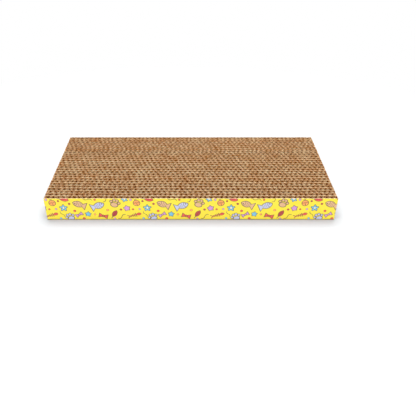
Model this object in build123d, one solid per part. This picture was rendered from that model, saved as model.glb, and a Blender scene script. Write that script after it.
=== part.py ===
"""Cardboard cat scratcher: a pad of double-wall corrugated strips that stand on edge, glued side by
side and wrapped in a band of printed paper. The cut ends of the flutes make the scratching face.

Frame, in millimetres: X along the strips, Y from the front of the pad to its back, +Z up.
The origin is the middle of the underside.
"""

import math
import os

from build123d import *

# The strips, cut across their flutes so that the flutes stand upright
STRIP_LENGTH = 434.7
STRIP_HEIGHT = 40.0
STRIP_COUNT = 27

# Paper thicknesses, and the starch that holds a flute's crest to its liner
LINER = 0.25
FLUTING = 0.20
STARCH = 0.02

# Coarse flutes at the front of each strip and finer flutes behind them. The height is the room
# that a fluted sheet takes between its two liners, with its own paper counted in.
COARSE_PITCH = 7.76
COARSE_HEIGHT = 3.60
FINE_PITCH = 6.08
FINE_HEIGHT = 2.50

# Flutes of neighbouring strips don't line up: each strip moves them on by this share of a pitch
COARSE_DRIFT = 0.618
FINE_DRIFT = 0.414
# A strip's end is cut at least this far from a flank, where two arcs of a flute meet
FLANK_CLEARANCE = 0.30

# Beads of white glue between neighbouring strips, one near each cut face
GLUE_FILM = 0.10
GLUE_WIDTH = 6.0
GLUE_FACE_INSET = 7.0
GLUE_END_INSET = 4.0

# The printed band. Its two ends overlap on the back of the pad. The seam's inset is measured from
# the pad's right end.
WRAP_PAPER = 0.15
WRAP_FACE_INSET = 0.40
WRAP_LAP = 18.0
WRAP_LAP_GLUE = 0.02
WRAP_SEAM_INSET = 67.35
WRAP_STEP_GAP = 0.50
WRAP_STEP_RUN = 3.0

# Worked out from the sizes above
COARSE_SPACE = COARSE_HEIGHT + 2 * STARCH
FINE_SPACE = FINE_HEIGHT + 2 * STARCH
STRIP_THICKNESS = 3 * LINER + COARSE_SPACE + FINE_SPACE
STRIP_STEP = STRIP_THICKNESS + GLUE_FILM
BLOCK_DEPTH = STRIP_COUNT * STRIP_STEP - GLUE_FILM
HALF_LENGTH = STRIP_LENGTH / 2
HALF_DEPTH = BLOCK_DEPTH / 2
WRAP_SEAM_X = HALF_LENGTH - WRAP_SEAM_INSET


def clear_phase(share, pitch):
    """Where a crest stands along the strip: a share of the pitch from the middle, moved on until
    neither end of the strip cuts close to a flank."""
    half = pitch / 2
    phase = (share % 1) * pitch

    def flank_gap(end):
        past = (end - phase - pitch / 4) % half
        return min(past, half - past)

    while min(flank_gap(-HALF_LENGTH), flank_gap(HALF_LENGTH)) < FLANK_CLEARANCE:
        phase += FLANK_CLEARANCE
    return phase


def flute_face(pitch, height, phase, offset):
    """The arcs of one face of a fluted sheet, from the left end to the right. Each arc is one crest,
    towards +Y or -Y in turn, and meets the next on a flank. The offset is the face's distance from
    the middle of the paper, positive towards +Y."""
    swing = (height - FLUTING) / 2
    quarter = pitch / 4
    flank = 2 * math.atan2(swing, quarter)
    radius = quarter / math.sin(flank)
    reach_in_crests = math.ceil((HALF_LENGTH + abs(phase)) / (2 * quarter)) + 1
    arcs = []
    for crest in range(-reach_in_crests, reach_in_crests + 1):
        side = 1 if crest % 2 == 0 else -1
        crest_x = phase + crest * 2 * quarter
        arc_radius = radius + side * offset
        reach = arc_radius * math.sin(flank)
        left, right = -HALF_LENGTH - crest_x, HALF_LENGTH - crest_x
        if left >= reach or right <= -reach:
            continue
        # Angles from the crest at which the arc starts and ends: on its flanks, or where the strip ends
        start = math.asin(left / arc_radius) if left > -reach else -flank
        end = math.asin(right / arc_radius) if right < reach else flank
        points = []
        for turn in (start, (start + end) / 2, end):
            rise = swing - radius + arc_radius * math.cos(turn)
            points.append((crest_x + arc_radius * math.sin(turn), side * rise))
        arcs.append(ThreePointArc(*points))
    return arcs


def fluted_sheet(pitch, height, share):
    """A fluted sheet about Y = 0, its flutes upright and its ends cut square with the liners."""
    phase = clear_phase(share, pitch)
    back = flute_face(pitch, height, phase, FLUTING / 2)
    front = flute_face(pitch, height, phase, -FLUTING / 2)
    left_cut = Line(front[0] @ 0, back[0] @ 0)
    right_cut = Line(front[-1] @ 1, back[-1] @ 1)
    section = Face(Wire([*back, right_cut, *front, left_cut]))
    return extrude(section, STRIP_HEIGHT, dir=(0, 0, 1))


def liner_sheet():
    """A flat liner whose front face is on Y = 0."""
    return Box(STRIP_LENGTH, LINER, STRIP_HEIGHT, align=(Align.CENTER, Align.MIN, Align.MIN))


def strip(number):
    """One double-wall strip in its place, counted from the front of the pad. From front to back it is
    a liner, the coarse flutes, a liner, the fine flutes and a liner."""
    front = (number - 1) * STRIP_STEP - HALF_DEPTH
    middle = front + LINER + COARSE_SPACE
    rear = middle + LINER + FINE_SPACE
    coarse = fluted_sheet(COARSE_PITCH, COARSE_HEIGHT, number * COARSE_DRIFT)
    fine = fluted_sheet(FINE_PITCH, FINE_HEIGHT, number * FINE_DRIFT)
    plies = [
        Pos(0, front, 0) * liner_sheet(),
        Pos(0, middle - COARSE_SPACE / 2, 0) * coarse,
        Pos(0, middle, 0) * liner_sheet(),
        Pos(0, rear - FINE_SPACE / 2, 0) * fine,
        Pos(0, rear, 0) * liner_sheet(),
    ]
    return Compound(children=plies)


def glue_beads():
    """Two flat beads in each joint between strips, just below one cut face and just above the other."""
    bead = Box(
        STRIP_LENGTH - 2 * GLUE_END_INSET,
        GLUE_FILM,
        GLUE_WIDTH,
        align=(Align.CENTER, Align.MIN, Align.CENTER),
    )
    levels = (GLUE_FACE_INSET, STRIP_HEIGHT - GLUE_FACE_INSET)
    beads = []
    for joint in range(1, STRIP_COUNT):
        y = joint * STRIP_STEP - GLUE_FILM - HALF_DEPTH
        beads.extend(Pos(0, y, level) * bead for level in levels)
    return Compound(children=beads)


def wrap_band():
    """The printed band as one open strip of paper. It starts on the back of the pad, runs round the
    left end, the front and the right end, and comes back to lie over its own start."""
    x, y, paper = HALF_LENGTH, HALF_DEPTH, WRAP_PAPER
    raised = y + paper + WRAP_LAP_GLUE
    step_top = WRAP_SEAM_X + WRAP_STEP_GAP
    step_foot = step_top + WRAP_STEP_RUN
    lap_end = WRAP_SEAM_X - WRAP_LAP
    inside = [(WRAP_SEAM_X, y), (-x, y), (-x, -y), (x, -y), (x, y)]
    inside += [(step_foot, y), (step_top, raised), (lap_end, raised)]
    outside_lap = [(lap_end, raised), (lap_end, raised + paper), (step_top, raised + paper)]
    outside_lap += [(step_foot, y + paper), (x, y + paper)]
    inside_line = Polyline(*inside)
    lap_line = Polyline(*outside_lap)
    # Outside, each corner of the pad is rounded by the thickness of the paper
    right = Line((x + paper, y), (x + paper, -y))
    front = Line((x, -y - paper), (-x, -y - paper))
    left = Line((-x - paper, -y), (-x - paper, y))
    back = Line((-x, y + paper), (WRAP_SEAM_X, y + paper))
    bends = [
        RadiusArc(start @ 1, end @ 0, -paper)
        for start, end in ((lap_line, right), (right, front), (front, left), (left, back))
    ]
    start_edge = Line(back @ 1, inside_line @ 0)
    outline = Wire([*inside_line.edges(), *lap_line.edges(), right, front, left, back, *bends, start_edge])
    band = extrude(Face(outline), STRIP_HEIGHT - 2 * WRAP_FACE_INSET, dir=(0, 0, 1))
    return Pos(0, 0, WRAP_FACE_INSET) * band


def main():
    os.makedirs("parts", exist_ok=True)
    nodes = {"glue_beads": glue_beads(), "printed_wrap": wrap_band()}
    for number in range(1, STRIP_COUNT + 1):
        nodes[f"board_strip_{number:02d}"] = strip(number)
    for name, node in nodes.items():
        export_step(node, f"parts/{name}.step", write_pcurves=False)
    print(f"strip {STRIP_THICKNESS:.2f} thick, pad {STRIP_LENGTH + 2 * WRAP_PAPER:.2f} long,")
    print(f"{BLOCK_DEPTH + 2 * WRAP_PAPER:.2f} deep away from the lap, {STRIP_HEIGHT:.2f} high")


main()
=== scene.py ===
"""Looks of the cardboard cat scratcher: corrugated strips with ragged cut edges, a printed paper wrap,
a white studio floor and the photograph's camera. Lengths are in millimetres until a mesh is made.
"""

import math

import bpy
import numpy as np
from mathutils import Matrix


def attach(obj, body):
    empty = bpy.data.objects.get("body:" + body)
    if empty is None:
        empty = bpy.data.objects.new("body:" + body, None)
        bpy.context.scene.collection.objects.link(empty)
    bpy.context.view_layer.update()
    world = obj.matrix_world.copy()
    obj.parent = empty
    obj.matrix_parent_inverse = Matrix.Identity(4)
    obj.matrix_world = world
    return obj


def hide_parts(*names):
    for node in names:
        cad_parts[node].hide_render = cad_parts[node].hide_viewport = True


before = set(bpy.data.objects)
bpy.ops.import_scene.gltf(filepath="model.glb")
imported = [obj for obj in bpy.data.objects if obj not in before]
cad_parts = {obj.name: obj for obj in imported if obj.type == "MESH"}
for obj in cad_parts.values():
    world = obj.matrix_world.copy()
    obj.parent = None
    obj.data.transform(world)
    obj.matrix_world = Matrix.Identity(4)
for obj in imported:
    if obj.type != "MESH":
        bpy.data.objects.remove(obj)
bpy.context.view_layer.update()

MM = 0.001

# The pad's own sizes
STRIP_COUNT = 27
STRIP_HEIGHT = 40.0
HALF_LENGTH = 217.35
LINER = 0.25
FLUTING = 0.20
STARCH = 0.02
GLUE_FILM = 0.10
GLUE_WIDTH = 6.0
GLUE_FACE_INSET = 7.0
GLUE_END_INSET = 4.0
WRAP_PAPER = 0.15
WRAP_FACE_INSET = 0.40
WRAP_LAP = 18.0
WRAP_LAP_GLUE = 0.02
WRAP_SEAM_X = 150.0
WRAP_STEP_GAP = 0.50
WRAP_STEP_RUN = 3.0
# A strip's end is cut at least this far from a flank, where two arcs of a flute meet
FLANK_CLEARANCE = 0.30

# The two kinds of flutes. Each strip moves them on by the drift, a share of the pitch, and each arc has so
# many steps. Fray is the width that torn fibres add to the crests that meet a liner in front of them. Tone is
# how light the paper is, and shade is how much painted shade darkens its other crests, where the cells are
# deep. Way is 1 for the flutes in front of the middle liner and -1 for those behind it.
COARSE = {
    "pitch": 7.76,
    "height": 3.60,
    "drift": 0.618,
    "steps": 8,
    "fray": 1.50,
    "tone": -0.1,
    "shade": 2.8,
    "way": 1,
}
FINE = {
    "pitch": 6.08,
    "height": 2.50,
    "drift": 0.414,
    "steps": 7,
    "fray": 0.20,
    "tone": 0.2,
    "shade": 0.3,
    "way": -1,
}

# Worked out from the sizes above
COARSE_SPACE = COARSE["height"] + 2 * STARCH
FINE_SPACE = FINE["height"] + 2 * STARCH
STRIP_THICKNESS = 3 * LINER + COARSE_SPACE + FINE_SPACE
STRIP_STEP = STRIP_THICKNESS + GLUE_FILM
HALF_DEPTH = (STRIP_COUNT * STRIP_STEP - GLUE_FILM) / 2

# The block of strips keeps this far inside its sides, which leaves room for the waves of the wrap
WRAP_ROOM = 0.20
# The radius of the wrap's corners
WRAP_BEND = 0.5
# How much lower the wrap's upper edge is on the ends and the back, and the run over which it gets there
WRAP_DROP = 0.9
WRAP_DROP_RUN = 4.0
# The wrap lies in so many rows on the baking square
WRAP_FOLDS = 6


def srgb(red, green, blue):
    """A colour as a screen shows it, 0 to 255, as the linear values that shaders take: each part c is
    c / 12.92 when small and ((c + 0.055) / 1.055) ** 2.4 above that."""
    part = np.array([red, green, blue]) / 255
    linear = np.where(part <= 0.04045, part / 12.92, ((part + 0.055) / 1.055) ** 2.4)
    return (*linear.tolist(), 1.0)


# Shader maths


class Value:
    """One number of a material. Arithmetic on it adds Math nodes."""

    def __init__(self, finish, socket):
        self.finish, self.socket = finish, socket

    def math(self, operation, *others):
        sockets = dict(enumerate((self, *others)))
        return self.finish.node("ShaderNodeMath", {"operation": operation}, sockets)

    def __add__(self, other):
        return self.math("ADD", other)

    def __sub__(self, other):
        return self.math("SUBTRACT", other)

    def __rsub__(self, other):
        return self.math("MULTIPLY_ADD", -1.0, other)

    def __mul__(self, other):
        return self.math("MULTIPLY", other)

    def __mod__(self, other):
        return self.math("FLOORED_MODULO", other)

    def __abs__(self):
        return self.math("ABSOLUTE")

    __radd__, __rmul__ = __add__, __mul__

    def least(self, other):
        return self.math("MINIMUM", other)

    def most(self, other):
        return self.math("MAXIMUM", other)

    def held(self):
        """The number kept between 0 and 1."""
        return self.finish.node("ShaderNodeClamp", {}, {"Value": self})

    def rise(self, low, high):
        """0 up to low, 1 from high, and a smooth rise between them."""
        sockets = {"Value": self, "From Min": low, "From Max": high}
        return self.finish.node("ShaderNodeMapRange", {"interpolation_type": "SMOOTHSTEP"}, sockets)


class Finish:
    """The nodes of a material, or of the world, in the making."""

    def __init__(self, holder, shader="Principled BSDF"):
        holder.use_nodes = True
        self.holder, self.tree = holder, holder.node_tree
        self.shader = self.tree.nodes[shader]

    def fill(self, socket, item):
        if isinstance(item, Value):
            self.tree.links.new(item.socket, socket)
        else:
            socket.default_value = item

    def node(self, kind, settings, sockets, out=0):
        """A new node, with its settings made first and then its sockets filled or linked. Gives one of its
        outputs."""
        made = self.tree.nodes.new(kind)
        for name, setting in settings.items():
            setattr(made, name, setting)
        for name, item in sockets.items():
            self.fill(made.inputs[name], item)
        return Value(self, made.outputs[out])

    def place(self):
        return self.node("ShaderNodeTexCoord", {}, {}, "Object")

    def split(self, vector):
        ends = self.node("ShaderNodeSeparateXYZ", {}, {"Vector": vector}).socket.node.outputs
        return [Value(self, end) for end in ends]

    def stretched(self, vector, scale):
        return self.node("ShaderNodeVectorMath", {"operation": "MULTIPLY"}, {0: vector, 1: scale})

    def noise(self, vector, scale, detail):
        return self.node("ShaderNodeTexNoise", {}, {"Vector": vector, "Scale": scale, "Detail": detail})

    def mix(self, share, first, second):
        settings = {"data_type": "RGBA"}
        return self.node("ShaderNodeMix", settings, {0: share, 6: first, 7: second}, 2)

    def seen(self):
        """1 where the camera sees a thing, also in a mirror or through glass, and 0 for the light that it
        casts."""
        rays = self.node("ShaderNodeLightPath", {}, {}).socket.node.outputs
        kinds = ("Is Camera Ray", "Is Glossy Ray", "Is Transmission Ray")
        camera, gloss, glass = [Value(self, rays[kind]) for kind in kinds]
        return camera.most(gloss).most(glass)

    def finished(self, values):
        for name, item in values.items():
            self.fill(self.shader.inputs[name], item)
        return self.holder


# Paper sheets


def along_line(line):
    """How far each point of a plan line lies along it: the lengths of the steps before it, added up."""
    return np.concatenate([[0.0], np.cumsum(np.linalg.norm(np.diff(line, axis=0), axis=1))])


def carried(line, side, thick, heights, sway):
    """A closed sheet of paper on edge: a thin upright section carried along a plan line. Point (i, j) is
    line_i + side_i * (sway_ij -/+ thick / 2) at height_ij. Counting j up climbs the front face, crosses
    the top cut, comes down the back face and closes along the bottom cut."""
    count, levels = heights.shape
    ring = 2 * levels
    reach = np.concatenate([sway - thick / 2, (sway + thick / 2)[:, ::-1]], axis=1)
    plan = line[:, None, :] + side[:, None, :] * reach[:, :, None]
    climb = np.concatenate([heights, heights[:, ::-1]], axis=1)
    points = np.dstack([plan, climb]).reshape(-1, 3)
    i, j = np.meshgrid(np.arange(count - 1), np.arange(ring), indexing="ij")
    low, high = i * ring, (i + 1) * ring
    after = (j + 1) % ring
    walls = np.stack([low + j, high + j, high + after, low + after], axis=-1).reshape(-1, 4)
    k = np.arange(levels - 1)
    start = np.stack([k, k + 1, ring - 2 - k, ring - 1 - k], axis=-1)
    end = (count - 1) * ring + start[:, ::-1]
    return points, np.concatenate([walls, start, end])


def corner_places(left, right, below, above):
    """Two numbers for each corner of each wall face, from its left and right ends and its lower and upper
    sides, in the order in which carried() lists the corners."""
    left, right, below, above = np.broadcast_arrays(left, right, below, above)
    corners = [(left, below), (right, below), (right, above), (left, above)]
    return np.stack([np.stack(pair, axis=-1) for pair in corners], axis=-2)


# A sheet's slab of the baking square, in shares of the slab: the top of the front face in one row and in
# several, the top of the back face, the rows of the two cuts, and the margins
FRONT_TOP = 0.44
FOLDED_FRONT_TOP = 0.90
BACK_TOP = 0.935
TOP_CUT = (0.940, 0.960)
BOTTOM_CUT = (0.970, 0.990)
FRONT_MARGINS = (0.004, 0.006)
BACK_MARGIN = 0.010
SIDE_MARGIN = 0.003
# The sliver that the two ends of a sheet take beside the back face: its sides, and its bottom and top
END_SIDES = (0.9975, 0.9990)
END_LEVELS = (0.5, 0.8)


def sheet_maps(line, levels, slab, fold=1):
    """Places of a sheet's face corners on two maps: along the paper, as (run, height), and on the baking
    square, inside the slab of it from slab[0] to slab[1]. There the front face lies at the bottom, in fold
    rows, then the back face, the top cut and the bottom cut, each as one row. A sheet in one row has all its
    levels equally far apart there, so that the cut edges, which show most, get most of the square."""
    run = along_line(line)
    left, right = run[:-1, None], run[1:, None]
    ring = 2 * len(levels)
    climb = np.concatenate([levels, levels[::-1]])
    along = corner_places(left, right, climb[None, :], np.roll(climb, -1)[None, :])
    share = np.linspace(0, 1, len(levels))
    front_top = FRONT_TOP
    if fold > 1:
        share = (levels - levels[0]) / (levels[-1] - levels[0])
        front_top = FOLDED_FRONT_TOP
    # Each band's lower and upper side as shares of the slab, for every face round the ring
    row = front_top / fold
    front = FRONT_MARGINS[0] + share * (row - sum(FRONT_MARGINS))
    back = front_top + BACK_MARGIN + share[::-1] * (BACK_TOP - front_top - 2 * BACK_MARGIN)
    below = np.concatenate([front[:-1], TOP_CUT[:1], back[:-1], BOTTOM_CUT[:1]])
    above = np.concatenate([front[1:], TOP_CUT[1:], back[1:], BOTTOM_CUT[1:]])
    is_front = np.arange(ring) < len(levels) - 1
    length = run[-1]
    turn = np.minimum(np.floor((left + right) / 2 / length * fold), fold - 1)
    on_front = np.stack([left / length * fold - turn, right / length * fold - turn])
    whole = np.stack([left / length, right / length])
    u = SIDE_MARGIN + (1 - 2 * SIDE_MARGIN) * np.where(is_front, on_front, whole)
    lift = np.where(is_front, turn * row, 0.0)
    tall = slab[1] - slab[0]
    v = slab[0] + tall * np.stack([below + lift, above + lift])
    bake = corner_places(u[0], u[1], v[0], v[1])
    # The two ends of the sheet
    ends = 2 * (len(levels) - 1)
    low, high = [slab[0] + tall * level for level in END_LEVELS]
    bake_ends = np.broadcast_to(corner_places(*END_SIDES, low, high), (ends, 4, 2))
    along_ends = np.zeros((ends, 4, 2))
    return [np.concatenate([a.reshape(-1, 4, 2), b]) for a, b in ((along, along_ends), (bake, bake_ends))]


# Faces that meet at more than this angle meet on a sharp edge
SHARP_ANGLE = math.radians(40)


def paper_piece(name, sheets, material, node):
    """One piece made of several sheets. Each sheet gives its points, faces and two maps, and for each point
    its paper's tone, which on the board also carries painted shade, and how near it is to a cut edge, from 0
    inside the sheet to 1 on the cut."""
    offsets = np.cumsum([0] + [len(sheet["points"]) for sheet in sheets[:-1]])
    points = np.concatenate([sheet["points"] for sheet in sheets]) * MM
    faces = np.concatenate([sheet["faces"] + offset for sheet, offset in zip(sheets, offsets)])
    mesh = bpy.data.meshes.new(name)
    mesh.vertices.add(len(points))
    mesh.vertices.foreach_set("co", points.ravel())
    mesh.loops.add(faces.size)
    mesh.loops.foreach_set("vertex_index", faces.ravel())
    mesh.polygons.add(len(faces))
    mesh.polygons.foreach_set("loop_start", np.arange(0, faces.size, 4))
    mesh.update(calc_edges=True)
    for key, scale in (("Paper", MM), ("OFBake", 1.0)):
        places = np.concatenate([sheet[key] for sheet in sheets]) * scale
        mesh.uv_layers.new(name=key).uv.foreach_set("vector", places.ravel())
    for key in ("tone", "cut"):
        marks = np.concatenate([np.broadcast_to(sheet[key], len(sheet["points"])) for sheet in sheets])
        mesh.attributes.new(key, "FLOAT", "POINT").data.foreach_set("value", np.ascontiguousarray(marks))
    mesh.polygons.foreach_set("use_smooth", np.ones(len(faces), dtype=bool))
    mesh.set_sharp_from_angle(angle=SHARP_ANGLE)
    mesh.materials.append(material)
    piece = bpy.data.objects.new(name, mesh)
    bpy.context.scene.collection.objects.link(piece)
    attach(piece, "root")
    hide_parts(node)
    return piece


def waver(x, rng, lengths, size):
    """A smooth random line about zero: sines of the given wavelengths with random phases and with random
    strengths from 0.5 to 1, added up, divided by the root of their number and multiplied by the size."""
    lengths = np.asarray(lengths)
    phase = rng.uniform(0, 2 * np.pi, len(lengths))
    strength = rng.uniform(0.5, 1.0, len(lengths))
    waves = strength * np.sin(2 * np.pi * x[:, None] / lengths + phase)
    return size * waves.sum(1) / math.sqrt(len(lengths))


# Waves of the glued rows: each one's size and length, its start as an angle, and its half waves across the
# pad
ROW_WAVES = ((0.5, 410, 0.4, 1), (0.35, 190, 2.1, 2), (0.3, 120, 4.0, 3), (0.22, 83, 5.2, 5))
# Where the flutes are crushed most, how far that reaches along and across the pad, and how much they are
# crushed elsewhere
CRUSH_PLACE = (-150.0, -70.0)
CRUSH_REACH = (75.0, 38.0)
CRUSH_ELSEWHERE = 0.35
# Points along a flat sheet, one every 1.3 mm or so, and along a ribbon of glue
FLAT_POINTS = 330
GLUE_POINTS = 62


def settled(line):
    """Where a plan line of the block lies after gluing. The block is pressed a little narrower, so y is
    scaled to leave the wrap its room, and the rows wander: y gains the sum of a few waves
    size * sin(2 pi x / length + start) * sin(pi * halves * (y / depth + 1 / 2)), which vanish at both
    sides."""
    x, y = line[:, 0], line[:, 1] * (1 - WRAP_ROOM / HALF_DEPTH)
    across = np.pi * (y / (2 * HALF_DEPTH) + 0.5)
    drift = np.zeros_like(x)
    for size, length, start, halves in ROW_WAVES:
        drift += size * np.sin(2 * np.pi * x / length + start) * np.sin(halves * across)
    return np.stack([x, y + drift], axis=1)


def crushed(x, y):
    """How badly the flutes are crushed at a place: a low floor everywhere, and over the front left a soft
    hill, e to the power of -(along / reach)2 - (across / reach)2."""
    along = (x - CRUSH_PLACE[0]) / CRUSH_REACH[0]
    across = (y - CRUSH_PLACE[1]) / CRUSH_REACH[1]
    return CRUSH_ELSEWHERE + np.exp(-(along**2) - across**2)


def flat_line(reach_left, reach_right, y, count=FLAT_POINTS):
    """A flat sheet's plan line from one end to the other, with its side towards +Y."""
    x = np.linspace(-reach_left, reach_right, count)
    line = np.stack([x, np.broadcast_to(y, x.shape)], axis=1)
    return line, np.broadcast_to([0.0, 1.0], line.shape)


def crest_start(share, pitch):
    """Where a crest stands along the strip: a share of the pitch from the middle, moved on until neither
    end of the strip cuts close to a flank."""
    half = pitch / 2
    start = (share % 1) * pitch

    def flank_gap(end):
        past = (end - start - pitch / 4) % half
        return min(past, half - past)

    while min(flank_gap(-HALF_LENGTH), flank_gap(HALF_LENGTH)) < FLANK_CLEARANCE:
        start += FLANK_CLEARANCE
    return start


# How flutes stray from an even line: the scatter of a strip's first crest and the wander of the others, as
# shares of the pitch, and the lean of a whole strip and of its single crests, in millimetres
CREST_SCATTER = 0.15
CREST_WANDER = 0.16
WANDER_LENGTHS = (29, 47, 76)
STRIP_LEAN = 0.3
CREST_LEAN = 0.75
LEAN_LENGTHS = (17, 37, 61)
# The share of a flute's length that its arches towards the back of the pad take
ARCH_SHARE = 0.56


def flute_line(flute, number, reach_left, reach_right, y, rng):
    """A fluted sheet's plan line. Crest k is an arc of radius r about (start + k * pitch / 2,
    side * (a - r)), with side = 1 and -1 in turn and a half the swing; at angle t from the crest, where t
    runs over -flank to flank, the point is r * (sin t, side * cos t) from there. The arches, whose side is
    1, have the larger radius. The crests wander along the strip and lean over, more where the board is
    crushed. Returns x, the rise from the middle of the flutes, which can follow the room between the
    liners, and the side."""
    pitch, steps = flute["pitch"], flute["steps"]
    half_swing = (flute["height"] - FLUTING) / 2
    flank = 2 * math.atan2(half_swing, pitch / 4)
    start = crest_start(number * flute["drift"] + rng.normal(0, CREST_SCATTER), pitch)
    most = math.ceil((HALF_LENGTH + start) / (pitch / 2)) + 1
    crest = np.repeat(np.arange(-most, most + 1), steps)
    turn = np.tile((np.arange(steps) + 0.5) / steps * 2 - 1, 2 * most + 1) * flank
    way = np.where(crest % 2 == 0, 1.0, -1.0)
    radius = np.where(way > 0, ARCH_SHARE, 1 - ARCH_SHARE) * pitch / 2 / math.sin(flank)
    x = start + crest * pitch / 2 + radius * np.sin(turn)
    rise = way * (half_swing - radius + radius * np.cos(turn))
    weak = crushed(x, y)
    wander = weak * waver(x, rng, WANDER_LENGTHS, CREST_WANDER * pitch)
    lean = weak * (rng.normal(0, STRIP_LEAN) + waver(x, rng, LEAN_LENGTHS, CREST_LEAN))
    moved = x + wander + lean * rise / half_swing
    side = np.stack([way * np.sin(turn), np.cos(turn)], axis=1)
    keep = (moved > -reach_left) & (moved < reach_right)
    return moved[keep], rise[keep], side[keep]


# Heights at which a sheet of board has points, close together near its two cuts
NEAR_CUT = 0.6
INSIDE = 1.6
LEVELS = np.array([0.0, NEAR_CUT, INSIDE, STRIP_HEIGHT - INSIDE, STRIP_HEIGHT - NEAR_CUT, STRIP_HEIGHT])
# How far cut edges drop, in general and on the pad's back edge
RAGGED = 0.17
RAGGED_BACK = 0.5
RAGGED_LENGTHS = (1.9, 3.3, 7.1, 23)
# How far cut edges bend to and fro
BEND = 0.10
BEND_LENGTHS = (2.7, 5.3, 11, 31)
# The width that torn fibres add to the cut edges of liners and of flutes. It is multiplied by a wavy line
# about its middle, held between a least and a most.
LINER_FRAY = 0.22
FLUTE_FRAY = 0.08
FRAY_MIDDLE = 0.6
FRAY_SWING = 0.45
FRAY_LENGTHS = (1.3, 2.9, 5.7)
FRAY_LEAST = 0.1
FRAY_MOST = 1.2
# The share of its torn width by which a leaning cut edge moves over
FRAY_LEAN = 0.42
# The share of the bend and of the torn width that is left just under the cut
UNDER_CUT = 0.45


def cut_sheet(line, side, thick, torn, look, slab, rng, lean=0.0, ragged=RAGGED):
    """One paper of a strip. Its cut edges drop by some tenths of a millimetre and bend to and fro where the
    saw passed: the height and the sideways bend at the two cuts are random lines along the paper.
    Torn fibres make it thicker there by about the width torn, towards the side that lean names, from -1 to
    1. Its look is its paper's tone, which can carry painted shade, and how pale it is on the cut and just
       under
    it, which is partly torn fibres and partly painted highlight."""
    run = along_line(line)
    heights = np.tile(LEVELS, (len(line), 1))
    sway = np.zeros_like(heights)
    frays = np.zeros_like(heights)
    for edge, inner, way in ((0, 1, 1), (-1, -2, -1)):
        heights[:, edge] += way * np.abs(waver(run, rng, RAGGED_LENGTHS, ragged))
        bend = waver(run, rng, BEND_LENGTHS, BEND)
        uneven = FRAY_MIDDLE + waver(run, rng, FRAY_LENGTHS, FRAY_SWING)
        fray = torn * np.clip(uneven, FRAY_LEAST, FRAY_MOST)
        bend = (1 - np.abs(lean)) * bend + lean * (np.abs(bend) + FRAY_LEAN * fray)
        for level, share in ((edge, 1.0), (inner, UNDER_CUT)):
            sway[:, level] = bend * share
            frays[:, level] = fray * share
    points, faces = carried(line, side, thick + frays, heights, sway)
    along, bake = sheet_maps(line, LEVELS, slab)
    bare = np.zeros(len(line))
    tone, rim, under = [bare + value for value in look]
    tone = np.repeat(tone, 2 * len(LEVELS))
    cut = np.stack([rim, under, bare, bare, under, rim] * 2, axis=1).ravel()
    return {"points": points, "faces": faces, "Paper": along, "OFBake": bake, "tone": tone, "cut": cut}


# Seeds of the random draws. A strip adds its number to the first.
STRIP_SEEDS = 1000
WRAP_SEED = 77
# Each end of a strip is cut short by up to this much
END_SCATTER = 0.9
# The spread of the tones of strips and of the papers in a strip
STRIP_TONE = 0.08
PAPER_TONE = 0.12
# The part of the strips' painted highlight and shade that is lost towards the back of the pad
BACK_FADE = 0.75
# Waves of a strip's middle liner
LINER_SWAY = 0.26
LINER_LENGTHS = (31, 53, 97)
LINER_STEPS = 400
# How sharply the pale crests and the ones with painted shade stand out from the flanks, as powers of the rise
PALE_CREST = 5
PAINTED_SHADE_CREST = 8
# How pale the flanks of flutes are on the cut and just under it, partly torn fibres and partly painted
# highlight
FLANK_RIM = 0.6
FLANK_UNDER = 0.1
# How much of a crest's painted shade is taken from its pale cut edge
PAINTED_SHADE_RIM = 0.25
# A strip's papers, each of which has its share of the baking square
PAPERS = 5


def paler(start, share):
    """A paleness that goes from its start to 1 as the share goes from 0 to 1."""
    return start + (1 - start) * share


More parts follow.
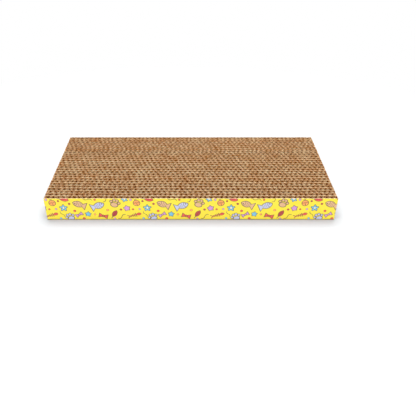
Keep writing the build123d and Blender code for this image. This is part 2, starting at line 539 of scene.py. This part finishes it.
def board_strip(number, material):
    """One double-wall strip: liner, coarse flutes, liner, fine flutes and liner, from front to back. The
    middle liner waves to and fro, and the flutes on both sides of it fill the room that it leaves them.
    Torn fibres gather on the crests that meet a liner in front of them, and these crests are painted pale as
    a highlight, as are the liners where the coarse crests meet them. The crests behind get painted shade, as
    in deep cells. The crests' painted highlight and shade fade towards the pad's back."""
    rng = np.random.default_rng(STRIP_SEEDS + number)
    front = (number - 1) * STRIP_STEP - HALF_DEPTH
    middle = front + LINER + COARSE_SPACE
    rear = middle + LINER + FINE_SPACE
    ends = HALF_LENGTH - WRAP_ROOM - rng.uniform(0, END_SCATTER, 2)
    strip_tone = rng.normal(0, STRIP_TONE)
    # How strong the crests' painted highlight and shade are on this strip, fading towards the back
    painted_light_strength = 1.0 - BACK_FADE * number / STRIP_COUNT
    grid = np.linspace(-HALF_LENGTH, HALF_LENGTH, LINER_STEPS)
    waves = waver(grid, rng, LINER_LENGTHS, LINER_SWAY) * crushed(grid, middle)

    def wave(x):
        return np.interp(x, grid, waves)

    def slab(place):
        return place / PAPERS, (place + 1) / PAPERS

    sheets, crests = [], []
    for place, flute, y in ((3, COARSE, middle - COARSE_SPACE / 2), (4, FINE, rear - FINE_SPACE / 2)):
        x, rise, side = flute_line(flute, number, *ends, y, rng)
        swing = flute["height"] - FLUTING
        line = np.stack([x, y + wave(x) / 2 + rise * (1 + flute["way"] * wave(x) / swing)], axis=1)
        # Painted highlight: the crests that meet the liner in front are painted pale, besides the fibres torn
        # there
        crest = np.clip(-2 * rise / swing, 0, 1) ** PALE_CREST
        # Painted shade: the crests behind, where the cells are deep, are painted darker
        painted_shade = painted_light_strength * flute["shade"] * np.clip(2 * rise / swing, 0, 1) ** PAINTED_SHADE_CREST
        torn = FLUTE_FRAY + (flute["fray"] - FLUTE_FRAY) * crest
        tone = flute["tone"] + strip_tone + rng.normal(0, PAPER_TONE) - painted_shade
        rim = paler(FLANK_RIM, painted_light_strength * crest) - PAINTED_SHADE_RIM * painted_shade
        look = tone, rim, paler(FLANK_UNDER, crest)
        sheets.append(cut_sheet(settled(line), side, FLUTING, torn, look, slab(place), rng, crest))
        crests.append((x, crest))
    # The coarse crests as the liners meet them, where the liners get painted highlight
    flat_x = flat_line(*ends, 0.0)[0][:, 0]
    x, crest = crests[0]
    order = np.argsort(x)
    met = np.interp(flat_x, x[order], crest[order])
    # Each liner's place on the map, its front face, the lean of its torn fibres, its tone, and how pale it is
    # on the cut and just under it, partly torn fibres and partly painted highlight, most where coarse crests
    # meet it
    for place, y, lean, tone, rim, under in (
        (0, front, 1, 0.2, paler(0.7, met), 0.5),
        (1, middle + wave(flat_x), 0, 0.2, paler(0.35, met), paler(0.1, met)),
        (2, rear, -1, 0.4, 0.9, 0.4),
    ):
        line, side = flat_line(*ends, y + LINER / 2)
        look = tone + strip_tone + rng.normal(0, PAPER_TONE), rim, under
        at_back = number == STRIP_COUNT and place == 2
        ragged = RAGGED_BACK if at_back else RAGGED
        sheet = cut_sheet(settled(line), side, LINER, LINER_FRAY, look, slab(place), rng, lean, ragged)
        sheets.append(sheet)
    name = f"board_strip_{number:02d}"
    return paper_piece(f"corrugated_{name}", sheets, material, name)


# A ribbon of glue is a little thinner than its joint
GLUE_RIBBON = 0.9 * GLUE_FILM


def glue_ribbons(material):
    """The beads of glue, two flat ribbons in each joint between strips, which follow the joint's waves."""
    levels = np.array([-GLUE_WIDTH / 2, GLUE_WIDTH / 2])
    reach = HALF_LENGTH - GLUE_END_INSET
    joints = STRIP_COUNT - 1
    sheets = []
    for joint in range(joints):
        y = (joint + 1) * STRIP_STEP - GLUE_FILM / 2 - HALF_DEPTH
        line, side = flat_line(reach, reach, y, GLUE_POINTS)
        line = settled(line)
        for place, middle in enumerate((GLUE_FACE_INSET, STRIP_HEIGHT - GLUE_FACE_INSET)):
            heights = np.tile(levels + middle, (len(line), 1))
            points, faces = carried(line, side, GLUE_RIBBON, heights, np.zeros_like(heights))
            low = (2 * joint + place) / (2 * joints)
            along, bake = sheet_maps(line, levels, (low, low + 0.5 / joints))
            sheet = {"points": points, "faces": faces, "Paper": along, "OFBake": bake}
            sheets.append({**sheet, "tone": 0.0, "cut": 0.0})
    return paper_piece("glue_ribbons", sheets, material, "glue_beads")


# Points along the wrap: about how far apart they are on a straight side, and how many a corner and the end
# of the band have
WRAP_SPACE = 2.5
CORNER_POINTS = 6
LAP_POINTS = 60


def wrap_line():
    """The printed band's plan line through the middle of its paper: from the seam on the back, round the
    left end, the front and the right end, and over its own start. Each corner is a quarter of a circle.
    The last stretch climbs by one paper and its glue on a smooth step just before the start's edge."""
    x = HALF_LENGTH + WRAP_PAPER / 2 - WRAP_ROOM / 2
    y = HALF_DEPTH + WRAP_PAPER / 2 - WRAP_ROOM / 2
    bend = WRAP_BEND

    def straight(start, end):
        count = max(2, int(math.dist(start, end) / WRAP_SPACE))
        return np.linspace(start, end, count, endpoint=False)

    def corner(centre_x, centre_y, first):
        angle = np.radians(np.linspace(first, first + 90, CORNER_POINTS, endpoint=False))
        return np.stack([centre_x + bend * np.cos(angle), centre_y + bend * np.sin(angle)], axis=1)

    last = np.linspace((x - bend, y), (WRAP_SEAM_X - WRAP_LAP, y), LAP_POINTS)
    step_foot = WRAP_SEAM_X + WRAP_STEP_GAP + WRAP_STEP_RUN
    step = np.clip((step_foot - last[:, 0]) / WRAP_STEP_RUN, 0, 1)
    last[:, 1] += (WRAP_PAPER + WRAP_LAP_GLUE) * step**2 * (3 - 2 * step)
    line = np.concatenate(
        [
            straight((WRAP_SEAM_X, y), (-x + bend, y)),
            corner(-x + bend, y - bend, 90),
            straight((-x, y - bend), (-x, -y + bend)),
            corner(-x + bend, -y + bend, 180),
            straight((-x + bend, -y), (x - bend, -y)),
            corner(x - bend, -y + bend, 270),
            straight((x, -y + bend), (x, y - bend)),
            corner(x - bend, y - bend, 0),
            last,
        ]
    )
    # Points at the folds of the baking map, so that no face crosses one
    run = along_line(line)
    stops = np.union1d(run, run[-1] * np.arange(1, WRAP_FOLDS) / WRAP_FOLDS)
    return np.stack([np.interp(stops, run, line[:, axis]) for axis in (0, 1)], axis=1)


# Heights between the wrap's two edges at which it has points
WRAP_LEVELS = (6.0, 13.0, 20.0, 27.0, 34.0)
# How far the wrap waves to and fro, how far its edges lift off the block, and how uneven they are cut
WRAP_SWAY = 0.022
SWAY_LENGTHS = (47, 83, 131, 210)
EDGE_LIFT = 0.028
LIFT_LENGTHS = (9, 23, 57)
EDGE_DROP = 0.05
DROP_LENGTHS = (60, 140, 330)


def printed_wrap(material):
    """The printed band: thin paper carried along wrap_line(), about a tenth of a millimetre off the block,
    in slow random waves of a few hundredths. Its two cut edges lift a little more. Its upper edge is a
    little lower on the pad's ends and back than in front, so that the strips' uneven edges show."""
    rng = np.random.default_rng(WRAP_SEED)
    line = wrap_line()
    ahead = np.gradient(line, axis=0)
    ahead /= np.linalg.norm(ahead, axis=1)[:, None]
    side = np.stack([-ahead[:, 1], ahead[:, 0]], axis=1)
    run = along_line(line)
    low, top = WRAP_FACE_INSET, STRIP_HEIGHT - WRAP_FACE_INSET
    levels = np.array([low, low + NEAR_CUT, *WRAP_LEVELS, top - NEAR_CUT, top])
    sway = np.stack([waver(run, rng, SWAY_LENGTHS, WRAP_SWAY) for _ in levels], axis=1)
    for edge in (0, -1):
        sway[:, edge] -= np.abs(waver(run, rng, LIFT_LENGTHS, EDGE_LIFT))
    heights = np.tile(levels, (len(line), 1))
    heights[:, 0] += np.abs(waver(run, rng, DROP_LENGTHS, EDGE_DROP))
    heights[:, -1] -= np.abs(waver(run, rng, DROP_LENGTHS, EDGE_DROP))
    past_front = np.maximum(np.abs(line[:, 0]) - HALF_LENGTH, line[:, 1] - HALF_DEPTH)
    heights[:, -2:] -= WRAP_DROP * np.clip(past_front / WRAP_DROP_RUN + 1, 0, 1)[:, None]
    points, faces = carried(line, side, WRAP_PAPER, heights, sway)
    along, bake = sheet_maps(line, levels, (0.0, 1.0), WRAP_FOLDS)
    # The inside of the paper, where the tone is 1, is bare
    tone = np.tile(np.repeat([0.0, 1.0], len(levels)), len(line))
    sheet = {"points": points, "faces": faces, "Paper": along, "OFBake": bake, "tone": tone, "cut": 0.0}
    return paper_piece("paper_wrap", [sheet], material, "printed_wrap")


# Materials

# Raw kraft, from its dark to its light patches, whose dark end is also the painted shade of the crests
# behind, its torn fibres, whose pale end is partly painted highlight, and its flecks
KRAFT_DARK = srgb(100, 38, 2)
KRAFT_LIGHT = srgb(214, 132, 62)
TORN_DULL = srgb(222, 141, 68)
TORN_PALE_AND_PAINTED_HIGHLIGHT = srgb(255, 229, 180)
FLECK = srgb(96, 60, 34)
# Glue, from its dull to its clear clouds
GLUE_DULL = srgb(214, 205, 186)
GLUE_CLEAR = srgb(238, 232, 218)
# The printed paper: its ground and the clouds in it, the painted shadow along its lower edge and its bare
# inside
YELLOW = srgb(247, 227, 74)
YELLOW_CLOUD = srgb(244, 214, 60)
PAINTED_CONTACT_SHADOW = srgb(98, 86, 40)
BARE_PAPER = srgb(226, 220, 206)
# The height of the papers' bumps, in metres
RELIEF = 0.0002
# Scales of the noises, in cells to a metre, or along, across and up the strips where they aren't even
CLOUD_SCALE = 55.0
FIBRE_SCALE = (260.0, 1100.0, 1100.0)
GRAIN_SCALE = (1500.0, 3600.0, 3600.0)
FLECK_SCALE = (420.0, 900.0, 900.0)
PATCH_SCALE = (330.0, 260.0, 90.0)
GLUE_SCALE = 180.0
INK_SCALE = 40.0
TOOTH_SCALE = 2600.0


def kraft_paper():
    """Raw brown kraft: a warm tan whose tone follows the sheet, with cloudy patches, fibres drawn out along
    the strip and a few dark flecks. Towards each cut edge it turns pale, partly torn fibres and partly
    painted highlight on the rims. The tone also carries painted shade at the crests behind."""
    finish = Finish(bpy.data.materials.new("raw_kraft_paper"))
    place = finish.place()
    tone = finish.node("ShaderNodeAttribute", {"attribute_name": "tone"}, {}, "Fac")
    cut = finish.node("ShaderNodeAttribute", {"attribute_name": "cut"}, {}, "Fac")
    cloud = finish.noise(place, CLOUD_SCALE, 3.0) - 0.5
    fibre = finish.noise(finish.stretched(place, FIBRE_SCALE), 1.0, 3.0) - 0.5
    grain = finish.noise(finish.stretched(place, GRAIN_SCALE), 1.0, 2.0)
    fleck = finish.noise(finish.stretched(place, FLECK_SCALE), 1.0, 1.0).rise(0.70, 0.78)
    patch = finish.noise(finish.stretched(place, PATCH_SCALE), 1.0, 1.0) - 0.5
    # The tone carries painted shade at the crests behind, and the pale towards the cut is partly painted
    # highlight
    shade = tone * 0.4 + cloud * 0.5 + patch * 0.6 + fibre * 0.4 + 0.5
    paper = finish.mix(shade.held(), KRAFT_DARK, KRAFT_LIGHT)
    pale_torn_and_highlight = (cloud * 1.2 + patch * 1.2 + grain * 0.7 + cut * 1.2 - 0.5 - tone * 0.35).held()
    torn = finish.mix(pale_torn_and_highlight, TORN_DULL, TORN_PALE_AND_PAINTED_HIGHLIGHT)
    paper = finish.mix((cut + patch * 0.6 + grain * 0.2 - 0.1).rise(0.15, 0.75), paper, torn)
    paper = finish.mix(fleck * 0.35, paper, FLECK)
    relief = finish.node(
        "ShaderNodeBump",
        {},
        {"Height": fibre + grain * 0.5, "Strength": 0.35, "Distance": RELIEF},
    )
    return finish.finished(
        {
            "Base Color": paper,
            "Roughness": (grain * 0.12 + 0.84).held(),
            "Normal": relief,
            "Specular IOR Level": 0.0,
        }
    )


def dried_glue():
    """Dried white glue: ivory, a little cloudy, with a soft gloss."""
    finish = Finish(bpy.data.materials.new("dried_white_glue"))
    cloud = finish.noise(finish.place(), GLUE_SCALE, 3.0)
    colour = finish.mix(cloud, GLUE_DULL, GLUE_CLEAR)
    return finish.finished({"Base Color": colour, "Roughness": (cloud * 0.2 + 0.35).held()})


# Inks of the print. Outlines and strokes are in the first.
INKS = {
    "line": srgb(78, 64, 72),
    "lavender": srgb(192, 200, 232),
    "sky": srgb(116, 192, 228),
    "tan": srgb(220, 178, 142),
    "coral": srgb(228, 82, 86),
    "lilac": srgb(206, 150, 214),
    "peach": srgb(250, 164, 100),
    "crimson": srgb(180, 52, 76),
    "cream": srgb(250, 242, 220),
}
# The print repeats after this length of the band
PRINT_REPEAT = 125.0
# The width of the outlines of motifs and of dots, and the width over which a printed edge is soft
OUTLINE = 0.65
THIN_OUTLINE = 0.3
SOFT_EDGE = 0.125


class Press:
    """Prints flat shapes over a ground, one after the other. A shape is a distance in millimetres to its
    edge, negative inside it."""

    def __init__(self, finish, ground, run, height):
        self.finish, self.colour, self.run, self.height = finish, ground, run, height

    def spot(self, run, height, turn, size):
        """Local axes of a motif that repeats along the band: how far right of and above its middle, turned
        by an angle and divided by its size."""
        half = PRINT_REPEAT / 2
        right = (self.run - (run - half)) % PRINT_REPEAT - half
        up = self.height - height
        cos, sin = math.cos(math.radians(turn)) / size, math.sin(math.radians(turn)) / size
        return right * cos + up * sin, up * cos - right * sin

    def ink(self, colour, distance):
        share = (0.5 - distance * (1 / SOFT_EDGE)).held()
        self.colour = self.finish.mix(share, self.colour, INKS[colour])

    def shape(self, colour, distance, outline=OUTLINE):
        self.ink(colour, distance)
        self.ink("line", abs(distance) - outline / 2)


def disc(u, v, radius):
    """Distance to a circle about the middle: the root of u2 + v2, less the radius."""
    return (u * u + v * v).math("SQRT") - radius


def oval(u, v, wide, high):
    """About the distance to an ellipse: (root of (u / wide)2 + (v / high)2, less 1) times the lesser
    radius."""
    return disc(u * (1 / wide), v * (1 / high), 1.0) * min(wide, high)


def lens(u, v, long, high):
    """Distance to a pointed leaf, the overlap of two circles: root of u2 + (|v| + d)2, less R, where the
    half length is long and the half width is high."""
    radius = (long * long + high * high) / (2 * high)
    return disc(u, abs(v) + (radius - high), radius)


def bar(u, v, long, high):
    """Distance to an upright rectangle: the greater of |u| - long and |v| - high."""
    return (abs(u) - long).most(abs(v) - high)


def fish(press, u, v, colour):
    """A leaf-shaped body, a tail that widens behind it, an eye, a gill line and three rows of scales."""
    tail = (abs(v) + u * 0.85 + 2.6).most(abs(u + 6.9) - 2.2)
    body = lens(u, v, 6.4, 4.0)
    press.shape(colour, body.least(tail))
    press.ink("line", disc(u - 3.6, v - 0.9, 0.75))
    press.ink("line", (abs(disc(u - 5.6, v, 4.4)) - 0.22).most(body))
    scales = abs((disc(u - 5.6, abs(v) - 1.2, 6.4) + 0.9) % 1.8 - 0.9) - 0.14
    press.ink("line", scales.most(body + 0.7).most(5.4 - disc(u - 5.6, v, 0.0)))


def paw(press, u, v, colour):
    """One wide pad and four toes over it."""
    across = abs(u)
    toes = disc(across - 4.5, v - 1.4, 1.65).least(disc(across - 1.7, v - 4.1, 1.8))
    press.shape(colour, oval(u, v + 2.2, 4.2, 3.2).least(toes))


def star(press, u, v, colour):
    """Five points: the angle is folded into one tenth of a turn, and the edge is a straight line there."""
    fifth = 2 * math.pi / 5
    angle = abs((u.math("ARCTAN2", v) + fifth / 2) % fifth - fifth / 2)
    out = (u * u + v * v).math("SQRT")
    x, y = out * angle.math("COSINE"), out * angle.math("SINE")
    press.shape(colour, (x - 5.0) * 0.62 + y * 0.78)


def flower(press, u, v, colour):
    """Five round petals, as a circle whose radius waves with the angle, and a pale middle."""
    wave = (u.math("ARCTAN2", v) * 5.0).math("COSINE")
    press.shape(colour, (disc(u, v, 3.9) - wave * 1.1) * 0.75)
    press.shape("cream", disc(u, v, 1.4), 0.35)


def leaf(press, u, v, colour):
    """A pointed leaf on a stalk, with its middle rib."""
    stalk = bar(u + 7.4, v, 2.2, 0.4)
    body = lens(u, v, 6.0, 3.0)
    press.shape(colour, body)
    press.ink("line", stalk.least(bar(u + 1.2, v, 4.0, 0.24)))


def bell(press, u, v, colour):
    """A round bell with a loop, two lines round its middle and a slot."""
    body = disc(u, v, 4.4)
    press.shape(colour, body)
    press.ink("line", abs(disc(u, v - 5.3, 1.0)) - 0.3)
    press.ink("line", (abs(abs(v - 0.6) - 0.55) - 0.2).most(body))
    press.ink("line", bar(u, v + 2.6, 0.28, 1.5).least(disc(u, v + 1.4, 0.6)))


def fishbone(press, u, v, colour):
    """A spine, four ribs that shorten towards the tail, a pointed head and a forked tail."""
    spine = bar(u + 0.6, v, 6.0, 0.42)
    ribs = (abs((u + 1.2) % 2.4 - 1.2) - 0.42).most(abs(v) - u * 0.22 - 2.3).most(abs(u + 0.9) - 4.4)
    head = lens(u - 6.4, v, 3.4, 2.2)
    tail = (abs(abs(v) + u * 0.7 + 4.2) - 0.5).most(abs(u + 7.6) - 1.6)
    press.shape(colour, spine.least(ribs).least(head).least(tail), 0.4)
    press.ink("line", disc(u - 6.8, v - 0.5, 0.5))


def bow(press, u, v, colour):
    """Two loops that widen away from a round knot."""
    press.shape(colour, (abs(v) - abs(u) * 0.5 - 0.6).most(abs(u) - 5.2))
    press.shape(colour, disc(u, v, 1.5))


def streamer(press, u, v, colour):
    """A wavy line, drawn as one stroke."""
    stroke = (abs(v - (u * 0.46).math("SINE") * 1.5) * 0.85 - 0.42).most(abs(u) - 7.0)
    press.ink(colour, stroke)


# Motifs of one repeat of the print: the drawing, its place along and up the band, its turn in degrees, its
# size and its ink
MOTIFS = (
    (fish, 12, 27.0, 22, 1.35, "lavender"),
    (paw, 36, 31.0, -18, 1.30, "tan"),
    (star, 53.5, 22.0, 12, 1.10, "lilac"),
    (leaf, 34.5, 12.0, 58, 1.10, "crimson"),
    (bell, 68.5, 31.5, 14, 1.15, "peach"),
    (bow, 17.0, 7.5, -16, 1.25, "coral"),
    (fishbone, 64.0, 9.0, 18, 1.10, "coral"),
    (flower, 84.0, 22.5, 0, 1.20, "sky"),
    (paw, 92.0, 5.5, 24, 1.20, "lavender"),
    (fish, 106.5, 29.5, 158, 1.30, "tan"),
    (leaf, 87.0, 38.0, -10, 1.10, "coral"),
    (streamer, 45.0, 6.5, 35, 1.0, "line"),
    (flower, 51.0, 38.5, 20, 1.0, "sky"),
    (star, 119.5, 11.0, -8, 1.0, "sky"),
    (bow, 106.0, 10.0, 30, 1.05, "lilac"),
    (streamer, 121.5, 38.0, -14, 1.0, "line"),
    (streamer, 80.5, 11.0, -62, 0.8, "line"),
    (streamer, 23.5, 37.5, 40, 0.9, "line"),
)
# Dots among the motifs: their place along and up the band, their radius and their ink
DOTS = (
    (24.5, 18.5, 2.0, "peach"),
    (44.5, 19.5, 1.7, "crimson"),
    (62.5, 20.0, 1.5, "coral"),
    (72.5, 20.5, 1.6, "lilac"),
    (93.5, 30.0, 1.7, "crimson"),
    (77.5, 3.0, 1.7, "sky"),
    (100.0, 17.0, 1.9, "coral"),
    (4.5, 10.5, 1.7, "peach"),
    (60.0, 37.5, 1.8, "lilac"),
    (34.0, 2.4, 1.6, "lilac"),
    (112.5, 2.8, 2.0, "coral"),
    (77.5, 35.0, 1.5, "crimson"),
    (7.0, 37.5, 1.6, "coral"),
)


# The heights, in millimetres, between which the painted shadow along the band's lower edge fades out
PAINTED_SHADOW_HEIGHTS = (1.2, 2.1)
# How far inside the block's ends, in millimetres, the band starts to count as one of its ends, and when it
# does so fully
AT_END = (0.3, 0.1)


def printed_paper():
    """Thin yellow printed paper: small motifs that repeat along the band, a faint cloud in the ink, a dark
    painted shadow along the lower edge, the ribs of the board showing through as slow bumps, and white paper
    inside. The ribs are cosine waves, one to a coarse flute on the long sides and one to a strip on the ends."""
    finish = Finish(bpy.data.materials.new("printed_yellow_paper"))
    place = finish.place()
    along = finish.node("ShaderNodeUVMap", {"uv_map": "Paper"}, {})
    run, height, _ = finish.split(along)
    press = Press(finish, YELLOW, run * (1 / MM), height * (1 / MM))
    for draw, at, up, turn, size, colour in MOTIFS:
        u, v = press.spot(at, up, turn, size)
        draw(press, u, v, colour)
    for at, up, radius, colour in DOTS:
        u, v = press.spot(at, up, 0, 1.0)
        press.shape(colour, disc(u, v, radius), THIN_OUTLINE)
    x, y, _ = finish.split(place)
    inside = finish.node("ShaderNodeAttribute", {"attribute_name": "tone"}, {}, "Fac")
    cloud = finish.noise(place, INK_SCALE, 3.0)
    tooth = finish.noise(place, TOOTH_SCALE, 2.0)
    ink = finish.mix((cloud * 0.10).held(), press.colour, YELLOW_CLOUD)
    # Painted shadow: the band is darkened towards its lower edge, standing in for the contact shadow there
    painted_shadow = (1.0 - press.height.rise(*PAINTED_SHADOW_HEIGHTS)) * (cloud * 0.4 + 0.65)
    ink = finish.mix(painted_shadow.held(), ink, PAINTED_CONTACT_SHADOW)
    ink = finish.mix(inside.rise(0.1, 0.4), ink, BARE_PAPER)
    ribs = (x * (2 * math.pi / (COARSE["pitch"] * MM))).math("COSINE")
    edges = (y * (2 * math.pi / (STRIP_STEP * MM))).math("COSINE")
    at_end = abs(x).rise(*[(HALF_LENGTH - inset) * MM for inset in AT_END])
    swell = ribs + at_end * (edges * 1.5 - ribs)
    relief = finish.node(
        "ShaderNodeBump",
        {},
        {"Height": swell * 0.10 + tooth * 0.12, "Strength": 0.25, "Distance": RELIEF},
    )
    return finish.finished(
        {
            "Base Color": ink,
            "Roughness": (tooth * 0.1 + cloud * 0.08 + 0.42).held(),
            "Normal": relief,
            "Specular IOR Level": 0.2,
        }
    )


# The object

kraft = kraft_paper()
for number in range(1, STRIP_COUNT + 1):
    board_strip(number, kraft)
wrap = printed_wrap(printed_paper())
# The yellow of the wrap isn't cast on the floor, which keeps the shadow grey
wrap.visible_diffuse = False
glue_ribbons(dried_glue())


# The studio, in metres

# Half axes of the oval of floor that keeps the pad's shadow, and the share of them where it is all white
SHADOW_REACH = (0.42, 0.32)
SHADOW_END = 1.8
# The floor's colour as the camera sees it, a little cool against the board's warm light, and as it casts
# light
FLOOR_SEEN = (0.88, 0.91, 0.92, 1.0)
FLOOR_CAST = (0.80, 0.80, 0.80, 1.0)
# The floor reaches this far to each side and has so many squares along each
FLOOR_REACH = 6.0
FLOOR_SQUARES = 24


def studio_floor():
    """A wide flat sheet on the plane that the pad lies on. It keeps the pad's shadow, and away from the pad,
    where the root of (x / a)2 + (y / b)2 is over 1, it fades to plain white."""
    finish = Finish(bpy.data.materials.new("white_floor"))
    place, seen = finish.place(), finish.seen()
    colour = finish.mix(seen, FLOOR_CAST, FLOOR_SEEN)
    material = finish.finished({"Base Color": colour, "Roughness": 0.9, "Specular IOR Level": 0.0})
    x, y, _ = finish.split(place)
    away = disc(x * (1 / SHADOW_REACH[0]), y * (1 / SHADOW_REACH[1]), 0.0).rise(1.0, SHADOW_END)
    white = finish.node("ShaderNodeEmission", {}, {"Strength": 1.0})
    lit = Value(finish, finish.shader.outputs["BSDF"])
    surface = finish.node("ShaderNodeMixShader", {}, {0: seen * away, 1: lit, 2: white})
    finish.fill(finish.tree.nodes["Material Output"].inputs["Surface"], surface)
    row = FLOOR_SQUARES + 1
    side = np.linspace(-FLOOR_REACH, FLOOR_REACH, row)
    x, y = np.meshgrid(side, side, indexing="ij")
    points = np.stack([x, y, np.zeros_like(x)], axis=-1).reshape(-1, 3)
    at = np.arange(FLOOR_SQUARES)[:, None] * row + np.arange(FLOOR_SQUARES)[None, :]
    faces = np.stack([at, at + row, at + row + 1, at + 1], axis=-1).reshape(-1, 4)
    mesh = bpy.data.meshes.new("studio_floor")
    mesh.from_pydata(points.tolist(), [], faces.tolist())
    mesh.materials.append(material)
    floor = bpy.data.objects.new("studio_floor", mesh)
    bpy.context.scene.collection.objects.link(floor)


# Square lamps: each one's name, place, width and power in watts
LAMPS = (
    ("overhead_softbox", (0.0, 0.15, 2.0), 1.6, 38.5),
    ("left_softbox", (-1.7, -1.45, 0.38), 0.7, 20.5),
    ("right_softbox", (1.7, -1.45, 0.38), 0.7, 20.5),
    ("back_softbox", (0.0, 2.2, 0.6), 1.0, 20.0),
)


def soft_lamp(name, at, width, watts):
    """A square area lamp at a point, turned to face the middle of the pad's underside."""
    lamp = bpy.data.lights.new(name, "AREA")
    lamp.shape = "SQUARE"
    lamp.size = width
    lamp.energy = watts
    holder = bpy.data.objects.new(name, lamp)
    x, y, z = at
    holder.location = at
    holder.rotation_euler = (math.atan2(math.hypot(x, y), z), 0.0, math.atan2(x, -y))
    bpy.context.scene.collection.objects.link(holder)


# The photograph's frame in pixels: its side, the lens's length and the point that the camera looks at
FRAME_SIDE = 416
LENS_PIXELS = 475.78
LOOK_PIXEL = (191, 186)
# The sensor's width in millimetres, and the camera's place and its tilt below level, in degrees
SENSOR = 36.0
CAMERA_AT = (0.00032, -0.66470, 0.44737)
CAMERA_DOWN = 34.07


def photo_camera():
    """The photograph's camera, worked out from the pad's corners: it looks along +Y and down by 34 degrees,
    and its picture is set a little off the middle of the frame."""
    camera = bpy.data.cameras.new("photo_camera")
    camera.sensor_width = SENSOR
    camera.lens = LENS_PIXELS / FRAME_SIDE * SENSOR
    camera.shift_x = (FRAME_SIDE / 2 - LOOK_PIXEL[0]) / FRAME_SIDE
    camera.shift_y = (LOOK_PIXEL[1] - FRAME_SIDE / 2) / FRAME_SIDE
    camera.clip_start = 0.01
    camera.clip_end = 50.0
    holder = bpy.data.objects.new("photo_camera", camera)
    holder.location = CAMERA_AT
    holder.rotation_euler = (math.radians(90 - CAMERA_DOWN), 0.0, 0.0)
    bpy.context.scene.collection.objects.link(holder)
    bpy.context.scene.camera = holder


# The share of the world's white that lights the pad
WORLD_LIGHT = 0.25

studio_floor()
for lamp in LAMPS:
    soft_lamp(*lamp)
photo_camera()
scene = bpy.context.scene
world = Finish(bpy.data.worlds.new("studio_white"), "Background")
strength = world.seen() * (1 - WORLD_LIGHT) + WORLD_LIGHT
scene.world = world.finished({"Color": (1.0, 1.0, 1.0, 1.0), "Strength": strength})
scene.view_settings.view_transform = "Standard"
